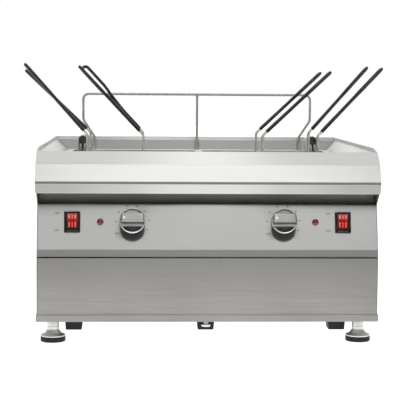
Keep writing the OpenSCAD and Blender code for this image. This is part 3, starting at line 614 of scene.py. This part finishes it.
def basket_mesh(sizes):
    """Woven wire mesh of one basket about its own middle. Every wire is a run of crossing points on the walls and the
    floor, and each point is pushed half a wire out or in by turns, so crossing wires pass over and under each other.
    Hoops follow the round-cornered plan. The other wires go down one wall, across the floor and up the far wall."""
    pitch, wire = sizes.mesh_pitch / MM, sizes.mesh_wire / MM
    a, b, r = BASKET_W / 2, BASKET_L / 2, BASKET_R
    count = round(BASKET_H / pitch)
    levels = (np.arange(count) + 0.6) / count * (BASKET_H - 3)

    def spread(half):
        count = round(2 * half / pitch)
        return (np.arange(count) + 0.5) / count * 2 * half - half

    def wall(at, half, other):
        past = np.clip(np.abs(at) - (half - r), 0, r)
        return other - r + np.sqrt(r * r - past * past)

    across, along = spread(a), spread(b)
    reach_y, reach_x = wall(across, a, b), wall(along, b, a)
    crossings = np.concatenate([
        np.stack([across, -reach_y], -1), np.stack([across, reach_y], -1),
        np.stack([-reach_x, along], -1), np.stack([reach_x, along], -1),
    ])
    order = np.argsort(np.arctan2(crossings[:, 1], crossings[:, 0]))
    rank = np.argsort(order)
    out = unit(crossings - np.clip(crossings, [r - a, r - b], [a - r, b - r]))
    level = np.arange(len(levels))
    weave = np.where((rank[:, None] + level) % 2, 1.0, -1.0)
    at = np.concatenate([np.broadcast_to(crossings[:, None], weave.shape + (2,)),
                         np.broadcast_to(levels[:, None], weave.shape + (1,))], -1)
    out = np.concatenate([out, 0 * out[:, :1]], -1)[:, None]
    hoops = (at + out * wire * weave[..., None])[order].transpose(1, 0, 2)
    walls = at - out * wire * weave[..., None]
    rim = at[:, -1:] + [0, 0, BASKET_H - levels[-1]]
    walls = np.concatenate([walls, rim], 1)
    n, m = len(across), len(along)

    def floor(own, other, reach, axis):
        span = np.clip(other[None], 2 - reach[:, None], reach[:, None] - 2)
        fixed = np.broadcast_to(own[:, None], span.shape)
        sign = np.where((np.arange(len(own))[:, None] + np.arange(len(other))) % 2, 1.0, -1.0)
        rise = wire * sign * (1 if axis == 0 else -1)
        return np.stack([fixed, span, rise] if axis == 0 else [span, fixed, rise], -1)

    down_y = np.concatenate([walls[:n, ::-1], floor(across, along, reach_y, 0), walls[n:2 * n]], 1)
    down_x = np.concatenate([walls[2 * n:2 * n + m, ::-1], floor(along, across, reach_x, 1), walls[2 * n + m:]], 1)
    return [
        tube(hoops, wire, 4, up=(0, 0, 1), closed=True),
        tube(down_y, wire, 4, up=(1, 0, 0)),
        tube(down_x, wire, 4, up=(0, 1, 0)),
    ]


def rim_path():
    """The plan of a basket's wall as a closed line in the middle of the rim wire."""
    plan = round_rect(BASKET_W, BASKET_L, BASKET_R, 7)
    return np.concatenate([plan, np.full((len(plan), 1), BASKET_H)], -1)


def handle_way(side, column, row):
    """Direction of a handle: the sine of its lean outwards and the cosine upwards."""
    lean = math.radians(LEAN[side][column][row])
    return np.array([math.sin(lean), 0.0, math.cos(lean)])


def handle_root(column, row, half):
    """Where a handle bends, over the outer wall of its basket."""
    return np.array([BASKET_X[column] + BASKET_W / 2, BASKET_Y[row] + half, BEND_Z])


def handle_wires(side, column, row, radius):
    """Two bare wires: each rises from the wall of the basket, bends, and runs up into the grip."""
    wires = []
    for half in (-ROOT_HALF, ROOT_HALF):
        root = handle_root(column, row, half)
        foot = root * [1, 1, 0] + [0, 0, BASKET_Z + BASKET_H - WIRE_DOWN]
        run = rounded([foot, root, root + WIRE_ON * handle_way(side, column, row)], [BEND_R], 9)
        wires.append(tube(run, radius, 16, up=(0, 1, 0)))
    return wires


def grip_run(side, column, row):
    """Middle line of the plastic grip, as a distance s along the handle and a half width across it. The half width
    goes from the root's to the pinch's and on to the eye's, each by the smooth step 3t2 - 2t3, and the eye ends in a
    half circle. A twisted handle turns about its own length, by the same step."""
    def smooth(t):
        t = np.clip(t, 0, 1)
        return t * t * (3 - 2 * t)

    s = np.linspace(GRIP_START, ARC_START, 40)
    half = ROOT_HALF + (PINCH_HALF - ROOT_HALF) * smooth(s / PINCH_END)
    half += (EYE_HALF - PINCH_HALF) * smooth((s - EYE_START) / EYE_LENGTH)
    turn = np.linspace(0, np.pi, 13)[1:-1]
    s = np.concatenate([s, ARC_START + EYE_HALF * np.sin(turn), s[::-1]])
    half = np.concatenate([half, EYE_HALF * np.cos(turn), -half[::-1]])
    root, lean = handle_root(column, row, 0.0), handle_way(side, column, row)
    twist = math.radians(TWIST.get((side, column, row), 0)) * smooth((s - TWIST_START) / TWIST_LENGTH)
    across = np.stack([-lean[2] * np.sin(twist), np.cos(twist), lean[0] * np.sin(twist)], -1)
    return root + s[:, None] * lean + half[:, None] * across


def grip_shell(side, column, row, radius):
    """The coat is a tube on the grip's line. Its last millimetre at each end closes in on the wire."""
    run = grip_run(side, column, row)
    first, last = unit(run[1] - run[0]), unit(run[-2] - run[-1])
    run = np.concatenate([[run[0] - 0.9 * first, run[0] - 0.6 * first], run,
                          [run[-1] - 0.6 * last, run[-1] - 0.9 * last]])
    thick = np.full(len(run), radius)
    thick[[0, 1, -2, -1]] = np.array([0.80, 0.93, 0.93, 0.80]) * radius
    lean = handle_way(side, column, row)
    return tube(run, thick, 20, up=(-lean[2], 0.0, lean[0]))


def knob_shells(radius=26.0, tall=22.0, bar=27.0, proud=38.0):
    """A turned cup with a grip bar across it. The cup is a profile turned about the shaft. The bar's section is a run
    of (up, out) points, and at each height it reaches to a circle, the root of its radius squared minus up squared.
    Near its two ends the bar is cut down by a quarter circle. The pocket over the bar has a raised floor."""
    inner, floor = radius - 2.6, tall - 11
    skirt = lathe([(0, 2), (radius - 2.2, 2), (radius - 2, 3), (radius - 2, 9), (radius, 11), (radius, tall - 4.6)], 96)
    ring = lathe([(radius, tall - 4.6), (radius + 0.15, tall - 4.2), (radius, tall - 1.4), (radius - 0.5, tall - 0.4),
                  (radius - 1.3, tall), (radius - 2.1, tall - 0.3), (inner, tall - 1.2), (inner, tall - 3)], 96)
    pocket = lathe([(inner, tall - 3), (inner, floor + 0.6), (inner - 0.6, floor), (0, floor)], 96)
    half = bar / 2
    section = np.array([(half, floor - 1), (half, proud - 2.8), (half, proud - 2.4), (half - 0.5, proud - 1.2),
                        (half - 1.3, proud - 0.3), (half - 2.3, proud), (half - 2.6, proud), (-4.6, proud),
                        (-4.9, proud), (-5.5, proud - 0.4), (-5.9, proud - 5.0), (-8.6, proud - 5.0),
                        (-9.0, proud - 1.2), (-9.7, proud - 0.5), (-12.2, proud - 0.9), (-half + 0.3, proud - 2.0),
                        (-half, proud - 3.4), (-half, floor - 1)])
    up, out = section.T
    reach = np.sqrt((radius - 1) ** 2 - up * up)
    ends = np.array([-1.0, -0.99, -0.96, -0.92, -0.5, 0.0, 0.5, 0.92, 0.96, 0.99, 1.0])[:, None]
    past = np.clip((np.abs(ends) - 0.92) / 0.08, 0, 1)
    cut = proud - 2.0 * (1 - np.sqrt(1 - past * past))
    bar_shell = skin(np.stack([ends * reach, up + 0 * ends, np.minimum(out + 0 * ends, cut)], -1))
    turn = np.linspace(0, np.pi, 33)
    half_disc = (inner - 0.2) * np.stack([np.cos(turn), np.sin(turn)], -1)
    shelf = stack([half_disc, half_disc], [floor - 0.2, floor + 6.5])
    dot = moved(lathe([(0, -1), (2.7, -1), (2.7, 0.35), (2.2, 0.8), (0, 0.95)], 32), (-17.0, 4.0, proud))
    return skirt, ring, pocket, shelf, bar_shell, dot


def frame_shells(wide=33.0, tall=44.6, hole_w=22.0, hole_l=38.0):
    """Switch frame: a round-cornered outline carried up the outside, over the rounded lip and down into the opening."""
    loops = [(wide, tall, 2.0, -0.2), (wide, tall, 2.0, 1.5), (wide - 0.5, tall - 0.5, 1.8, 2.2),
             (wide - 1.6, tall - 1.6, 1.4, 2.5), (hole_w + 1.2, hole_l + 1.2, 1.2, 2.3), (hole_w, hole_l, 0.8, 1.6),
             (hole_w, hole_l, 0.8, -12.0), (wide - 6, tall - 5, 0.8, -12.0), (wide - 6, tall - 5, 0.8, -0.2)]
    return stack([round_rect(w, l, r) for w, l, r, _ in loops], [loop[3] for loop in loops], closed=True)


def rocker_shells(wide=21.0, half=18.2, split=-0.62, tip=8.0, pivot=8.0):
    """Rocker, tipped about its pivot under the panel: a red lens over a black lower end, which is painted shade, and
    three ribs in two rows on the lens, coloured as painted highlights. A section of (up, out) points, whose face is
    the parabola 10.5 - 1.9 (1 - u2) through both ends, is narrowed by a quarter circle at its two sides. The ribs
    are tubes that follow the face."""
    def face(low, high, steps):
        u = np.linspace(low, high, steps)
        return np.stack([u * half, 10.5 - 1.9 * (1 - u * u)], -1)

    def block(low, high):
        top, foot = high * half, low * half
        under = np.array([(top - 0.5, 8.0), (top - 3.5, 0.0), (foot + 3.5, 0.0), (foot + 0.5, 8.0)])
        section = np.concatenate([face(low, high, 13), under])
        turn = np.linspace(-np.pi / 2, np.pi / 2, 9)
        shrink = 1 - (1 - np.cos(turn)) * 0.07
        middle = section.mean(0)
        loops = middle + (section - middle) * shrink[:, None, None]
        x = np.sign(turn) * (wide / 2 - 1.0) + np.sin(turn)
        return skin(np.concatenate([np.broadcast_to(x[:, None, None], loops.shape[:2] + (1,)), loops], -1))

    def rib(x, low, high):
        run = face(low / half, high / half, 9)
        return tube(np.concatenate([np.full((9, 1), x), run + [0, -0.3]], -1), 1.35, 12, up=(0, 0, 1))

    def tipped(shell):
        c, s = math.cos(math.radians(tip)), math.sin(math.radians(tip))
        return shell[0] @ np.array([[1, 0, 0], [0, c, s], [0, -s, c]]) - [0, 0, pivot], *shell[1:]

    rows = ((8.0, 15.6), (-9.4, 1.0))
    lens, shaded_heel = tipped(block(split, 1.0)), tipped(block(-1.0, split))
    outer = [tipped(rib(x, *row)) for x in (-6.2, 6.2) for row in rows]
    middle = [tipped(rib(0.0, *row)) for row in rows]
    return lens, shaded_heel, outer, middle


def foot_shells():
    """Adjustable foot: a bell and a notched sleeve turned about the stem, and a thread whose radius goes up and down
    along the stem."""
    bell = [(0, 11), (25.2, 11), (25.6, 11.6), (25.6, 13.4), (25.0, 14.0), (22.0, 14.9), (18.6, 16.6), (16.0, 19.0),
            (14.2, 21.6), (13.0, 24.0)]
    sleeve = [(11.2, 24.6), (11.2, 25.8), (12.2, 26.4), (12.3, 31.0), (11.5, 31.5), (11.5, 32.3), (12.3, 32.9),
              (12.3, 38.6), (11.3, 39.4), (11.3, 41.0), (12.3, 41.8), (12.3, 49.2), (11.9, 50.6), (10.9, 51.6),
              (6, 51.7)]
    steps = np.arange(49)
    thread = np.stack([np.where(steps % 2, 5.9, 5.35), 51.7 + steps * 0.66], -1)
    return lathe(np.concatenate([bell, sleeve]), 72), lathe(np.concatenate([[(0, 51.7)], thread, [(0, 84)]]), 32)


class FRYER_OT_baskets(bpy.types.Operator):
    """Weave the eight baskets, with a rim wire and two handle wires each"""

    bl_idname = "fryer.baskets"
    bl_label = "Wire baskets"

    def execute(self, context):
        sizes, colours = context.scene.fryer_sizes, context.scene.fryer_colours
        mesh_finish = polished("basket_mesh_wire", tint(colours.wire_steel, 1.05), 0.42)
        wire_finish = polished("basket_wire", tint(colours.wire_steel, 1.28), 0.50)
        weave = basket_mesh(sizes)
        rim = tube(rim_path(), sizes.rim_wire / MM, 12, up=(0, 0, 1), closed=True)
        for side, column, row in BASKETS:
            at = (BASKET_X[column], BASKET_Y[row], BASKET_Z)
            wires = handle_wires(side, column, row, sizes.handle_wire / MM)
            parts = [(mirrored(moved(shell, at), side), mesh_finish) for shell in weave]
            parts += [(mirrored(shell, side), wire_finish) for shell in [moved(rim, at), *wires]]
            name = f"basket_{side}_{column}_{row}"
            make(f"wire_{name}", parts, name, [name], crease=50)
        return {"FINISHED"}


class FRYER_OT_grips(bpy.types.Operator):
    """Coat the handle of each basket"""

    bl_idname = "fryer.grips"
    bl_label = "Handle grips"

    def execute(self, context):
        sizes, colours = context.scene.fryer_sizes, context.scene.fryer_colours
        finish = moulded("grip_coat", colours.grip, 0.40, coat=0.2, pebbled=0.02)
        for side, column, row in BASKETS:
            shell = mirrored(grip_shell(side, column, row, sizes.coat / MM), side)
            name = f"{side}_{column}_{row}"
            make(f"coat_{name}", [(shell, finish)], f"basket_{name}", [f"grip_{name}"], crease=50)
        return {"FINISHED"}


class FRYER_OT_rail(bpy.types.Operator):
    """Bend the rail behind the tanks, with a weld bead where the middle post meets it"""

    bl_idname = "fryer.rail"
    bl_label = "Rail"

    def execute(self, context):
        sizes, colours = context.scene.fryer_sizes, context.scene.fryer_colours
        radius = sizes.rail_tube / MM
        foot, knee, knee_top, top = DECK_Z + 0.3, DECK_Z + 32, DECK_Z + 72, DECK_Z + 136
        right = [(254, foot), (254, knee), (281, knee_top), (281, top)]
        corners = [(-x, z) for x, z in right] + right[::-1]
        run = rounded([(x, RAIL_Y, z) for x, z in corners], [9, 20, 14, 14, 20, 9], 11)
        post = [(0, RAIL_Y, foot), (0, RAIL_Y, top - 1)]
        bead = lathe([(0, -3.9), (2.6, -3.4), (3.9, -1.8), (3.9, 0), (3.0, 1.6), (0, 2)], 20)
        finish = polished("rail_steel", tint(colours.wire_steel, 0.85), 0.60)
        make("rail_tube", [(tube(run, radius, 24), finish), (tube(post, radius - 0.3, 24), finish),
                           (moved(bead, (0, RAIL_Y, top - radius)), finish)],
             "rail", ["basket_rail"], crease=50)
        return {"FINISHED"}


class FRYER_OT_knobs(bpy.types.Operator):
    """Turn the two thermostat knobs: a black skirt, a bright ring, pockets in painted shade and light, and a bar with a
    white dot
    """

    bl_idname = "fryer.knobs"
    bl_label = "Knobs"

    def execute(self, context):
        colours = context.scene.fryer_colours
        bright = polished("knob_plating", tint(colours.wire_steel, 1.3), 0.45)
        face = brushed("knob_face", tint(colours.wire_steel, 0.51), 0.34, "X", mottle=0.04, edge=0.0, grain=0.05)
        # Painted shade and light: the pocket is dark as in the bar's shade, and the raised floor over the bar lighter
        # as if lit.
        pocket = drawn_steel("knob_pocket", (0.22, 0.21, 0.20), 0.45)
        shelf = drawn_steel("knob_shelf_painted_light", (0.50, 0.49, 0.47), 0.45)
        skirt = moulded("knob_skirt", (0.012, 0.012, 0.012), 0.3)
        dot = moulded("knob_dot", (0.85, 0.85, 0.83), 0.3)
        finishes = (skirt, bright, pocket, shelf, face, dot)
        for side, sign in SIDES.items():
            parts = [(on_panel(shell, sign * KNOB_X), finish) for shell, finish in zip(knob_shells(), finishes)]
            make(f"thermostat_knob_{side}", parts, f"knob_{side}", [f"knob_{side}"])
        return {"FINISHED"}


class FRYER_OT_marks(bpy.types.Operator):
    """Print the marks round the knobs and beside the switches"""

    bl_idname = "fryer.marks"
    bl_label = "Panel marks"

    def execute(self, context):
        sizes, colours = context.scene.fryer_sizes, context.scene.fryer_colours
        ink = moulded("panel_ink", colours.ink, 0.5)
        tick = stack([round_rect(sizes.tick / MM, 2.0, 0.6, 3)] * 2, [-0.2, 0.12])
        beside_switch = {"left": -31.5, "right": -30.0}
        for side, sign in SIDES.items():
            marks = []
            for angle in np.radians(DIAL_ANGLES):
                c, s = math.cos(angle), math.sin(angle)
                points = (tick[0] + [DIAL_RADIUS, 0, 0]) @ np.array([[c, s, 0], [-s, c, 0], [0, 0, 1]])
                marks.append(on_panel((points, *tick[1:]), sign * KNOB_X))
            marks.append(on_panel(moved(letters("OFF", 4.2), (-31.0, -24.5, 0)), sign * KNOB_X))
            for word, up in (("ON", 17.5), ("OFF", -18.0)):
                marks.append(on_panel(moved(letters(word, 4.4), (beside_switch[side], up, 0)), sign * SWITCH_X))
            make(f"panel_marks_{side}", [(mark, ink) for mark in marks], "chassis", [])
        return {"FINISHED"}


class FRYER_OT_switches(bpy.types.Operator):
    """Mould the rocker switches and their frames"""

    bl_idname = "fryer.switches"
    bl_label = "Rocker switches"

    def execute(self, context):
        colours = context.scene.fryer_colours
        black = moulded("switch_frame", (0.014, 0.014, 0.014), 0.25, coat=0.6)
        red = clear_red("switch_red", colours.lens)
        # Painted highlights: the ribs are pinkish white and orange to stand for bright glints on the rocker.
        light = moulded("switch_rib_outer_highlight", (0.88, 0.30, 0.28), 0.25, coat=0.8)
        amber_highlight = moulded("switch_rib_middle_highlight", (0.85, 0.17, 0.07), 0.25, coat=0.8)
        for side, sign in SIDES.items():
            x = sign * SWITCH_X
            make(f"switch_frame_{side}", [(on_panel(frame_shells(), x), black)], "chassis",
                 [f"switch_housing_{side}"])
            # The rocker's black lower end is painted shade.
            lens, shaded_heel, outer, middle = rocker_shells()
            parts = [(lens, red), (shaded_heel, black), *((rib, light) for rib in outer), *((rib, amber_highlight) for rib in middle)]
            make(f"switch_red_{side}", [(on_panel(shell, x), finish) for shell, finish in parts], f"rocker_{side}",
                 [f"switch_rocker_{side}"], crease=50)
        return {"FINISHED"}


class FRYER_OT_lamps(bpy.types.Operator):
    """Mould the domed pilot lamps"""

    bl_idname = "fryer.lamps"
    bl_label = "Pilot lamps"

    def execute(self, context):
        red = clear_red("lamp_red", tint(context.scene.fryer_colours.lens, 0.45))
        turn = np.linspace(0, np.pi / 2, 10)[1:]
        dome = [(0, -10), (5.4, -10), (5.4, -0.1), (6.6, 0), (6.8, 0.6), (6.6, 1.4), (5.8, 1.9)]
        dome += list(zip(5.6 * np.cos(turn), 1.9 + 4.0 * np.sin(turn)))
        dome[-1] = (0, dome[-1][1])
        for side, sign in SIDES.items():
            shell = on_panel(lathe(dome, 48), sign * LAMP_X)
            make(f"lamp_lens_{side}", [(shell, red)], "chassis", [f"pilot_lamp_{side}"])
        return {"FINISHED"}


class FRYER_OT_feet(bpy.types.Operator):
    """Turn the four levelling feet with their threaded stems"""

    bl_idname = "fryer.feet"
    bl_label = "Levelling feet"

    def execute(self, context):
        finish = polished("foot_steel", context.scene.fryer_colours.wire_steel, 0.36)
        for row, y in (("front", -FOOT_Y), ("rear", FOOT_Y)):
            for side, sign in SIDES.items():
                parts = [(moved(shell, (sign * FOOT_X, y, 0)), finish) for shell in foot_shells()]
                make(f"bell_foot_{row}_{side}", parts, f"foot_{row}_{side}", [f"foot_{row}_{side}"])
        return {"FINISHED"}


class FRYER_OT_finishes(bpy.types.Operator):
    """Give each sheet and casting that keeps its solid a finish"""

    bl_idname = "fryer.finishes"
    bl_label = "Steel and rubber finishes"

    def execute(self, context):
        finishes = kept_finishes(context.scene.fryer_colours)
        for name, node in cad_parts.items():
            start = max((key for key in finishes if name.startswith(key)), key=len, default=None)
            if start is None:
                continue
            node.data.materials.clear()
            node.data.materials.append(finishes[start])
        return {"FINISHED"}


# Soft boxes: name, place, target, size and radiance
LIGHTS = (
    ("key", (0.08, -2.20, 2.08), (0.08, -0.3, 0.3), (1.8, 0.35), 14.0),
    ("top", (0.0, 0.6, 2.8), (0.0, 0.0, 0.4), (2.6, 1.6), 1.05),
    ("left_fill", (-3.0, 0.2, 1.3), (0.0, 0.0, 0.3), (2.0, 1.6), 0.5),
    ("right_fill", (3.0, 0.2, 1.3), (0.0, 0.0, 0.3), (2.0, 1.6), 0.5),
    ("back_fill", (0.0, 3.2, 1.4), (0.0, 0.0, 0.3), (2.4, 1.6), 0.7),
)
# Half the side of the floor in metres, and how much it glows
FLOOR_HALF = 14.0
FLOOR_GLOW = 0.92
# Sky: an axis, two places along it, and the grey at each
SKY = ("Z", 0.45, 1.0, 0.02, 0.42), ("Y", 0.2, 0.9, 0.0, 0.60)
# The camera's place in metres, its turns in radians, and the focal length in millimetres
VIEW_FROM = (-0.136406, -2.964494, 0.537091)
YAW, PITCH, ROLL = 0.0447466, 0.0881700, 0.00710194
FOCAL = 117.69


class FRYER_OT_stage(bpy.types.Operator):
    """Set the pale floor, the soft lights and the camera"""

    bl_idname = "fryer.stage"
    bl_label = "Stage"

    def execute(self, context):
        scene = context.scene
        scene.view_settings.view_transform = "Standard"
        scene.world = self.sky()
        self.floor()
        for lamp in LIGHTS:
            self.light(*lamp)
        self.camera()
        return {"FINISHED"}

    def sky(self):
        """White to the camera. Everything else sees grey that grows lighter overhead and towards the back."""
        world = bpy.data.worlds.new("studio")
        nodes = Nodes(world)
        way = nodes.node("ShaderNodeTexCoord")
        over, behind = (nodes.part(way, axis).between(*ramp) for axis, *ramp in SKY)
        seen = nodes.node("ShaderNodeLightPath")
        light = nodes.node("ShaderNodeBackground", {}, {"Color": nodes.blend(over + behind, (1.0, 1.0, 1.0), seen)})
        nodes.node("ShaderNodeOutputWorld", {}, {"Surface": light})
        return world

    def floor(self):
        """A square of pale, slightly luminous floor. What the steel mirrors of it is greyer in front, as by a flag."""
        finish = Finish("studio_floor")
        beside = abs(finish.along("X") - 0.1)
        away = beside.between(0.1, 0.9, 0.78, 1.0) * finish.along("Y").between(-1.3, -0.9, 1.0, 0.0)
        mirrored_only = 1.0 - finish.node("ShaderNodeLightPath")
        material = finish.shade(
            base_color=(0.82, 0.82, 0.81, 1.0),
            roughness=0.9,
            emission_color=finish.blend((1.0, 1.0, 0.99), (0.08, 0.077, 0.07), away * mirrored_only),
            emission_strength=FLOOR_GLOW,
        )
        mesh = bpy.data.meshes.new("studio_floor")
        corners = np.array([(-1, -1), (1, -1), (1, 1), (-1, 1)]) * FLOOR_HALF
        mesh.from_pydata([(x, y, 0.0) for x, y in corners], [], [(0, 1, 2, 3)])
        mesh.materials.append(material)
        floor = linked("studio_floor", mesh)

    def light(self, name, at, to, size, radiance):
        """A soft box that faces a point, with the power that gives its face this radiance."""
        lamp = bpy.data.lights.new(name, "AREA")
        lamp.shape = "RECTANGLE"
        lamp.size, lamp.size_y = size
        lamp.energy = radiance * math.pi * size[0] * size[1]
        away = unit(np.subtract(at, to))
        side = unit(np.cross((0.0, 0.001, 1.0), away))
        linked(name, lamp).matrix_world = frame_matrix(side, np.cross(away, side), away, at)

    def camera(self):
        """The camera looks along f with its right side r and its top u, then rolls a little about f."""
        f = np.array([math.sin(YAW) * math.cos(PITCH), math.cos(YAW) * math.cos(PITCH), -math.sin(PITCH)])
        r = np.array([math.cos(YAW), -math.sin(YAW), 0.0])
        u = np.cross(r, f)
        right, top = math.cos(ROLL) * r + math.sin(ROLL) * u, math.cos(ROLL) * u - math.sin(ROLL) * r
        lens = bpy.data.cameras.new("view")
        lens.sensor_width = 36.0
        lens.lens = FOCAL
        lens.clip_end = 50.0
        holder = linked("view", lens)
        holder.matrix_world = frame_matrix(right, top, -f, VIEW_FROM)
        bpy.context.scene.camera = holder


def frame_matrix(x, y, z, at):
    """The matrix whose columns are three axes and a place."""
    return Matrix([*zip(x, y, z, at), (0.0, 0.0, 0.0, 1.0)])


class FRYER_PT_build(bpy.types.Panel):
    """Lists the fryer's sizes, colours and pieces"""

    bl_idname = "FRYER_PT_build"
    bl_label = "Deep fryer"
    bl_space_type = "VIEW_3D"
    bl_region_type = "UI"
    bl_category = "Fryer"

    def draw(self, context):
        column = self.layout.column(align=True)
        for group in (context.scene.fryer_sizes, context.scene.fryer_colours):
            for key in group.__annotations__:
                column.prop(group, key)
            column.separator()
        for piece in PIECES:
            column.operator(piece.bl_idname)


PIECES = (
    FRYER_OT_finishes, FRYER_OT_baskets, FRYER_OT_grips, FRYER_OT_rail, FRYER_OT_knobs, FRYER_OT_marks,
    FRYER_OT_switches, FRYER_OT_lamps, FRYER_OT_feet, FRYER_OT_stage,
)
CLASSES = (FryerSizes, FryerColours, *PIECES, FRYER_PT_build)


def register():
    for item in CLASSES:
        bpy.utils.register_class(item)
    bpy.types.Scene.fryer_sizes = PointerProperty(type=FryerSizes)
    bpy.types.Scene.fryer_colours = PointerProperty(type=FryerColours)


def unregister():
    del bpy.types.Scene.fryer_colours
    del bpy.types.Scene.fryer_sizes
    for item in reversed(CLASSES):
        bpy.utils.unregister_class(item)


def main():
    """Builds every piece through its operator."""
    register()
    for piece in PIECES:
        group, name = piece.bl_idname.split(".")
        getattr(getattr(bpy.ops, group), name)()


if __name__ == "__main__":
    main()
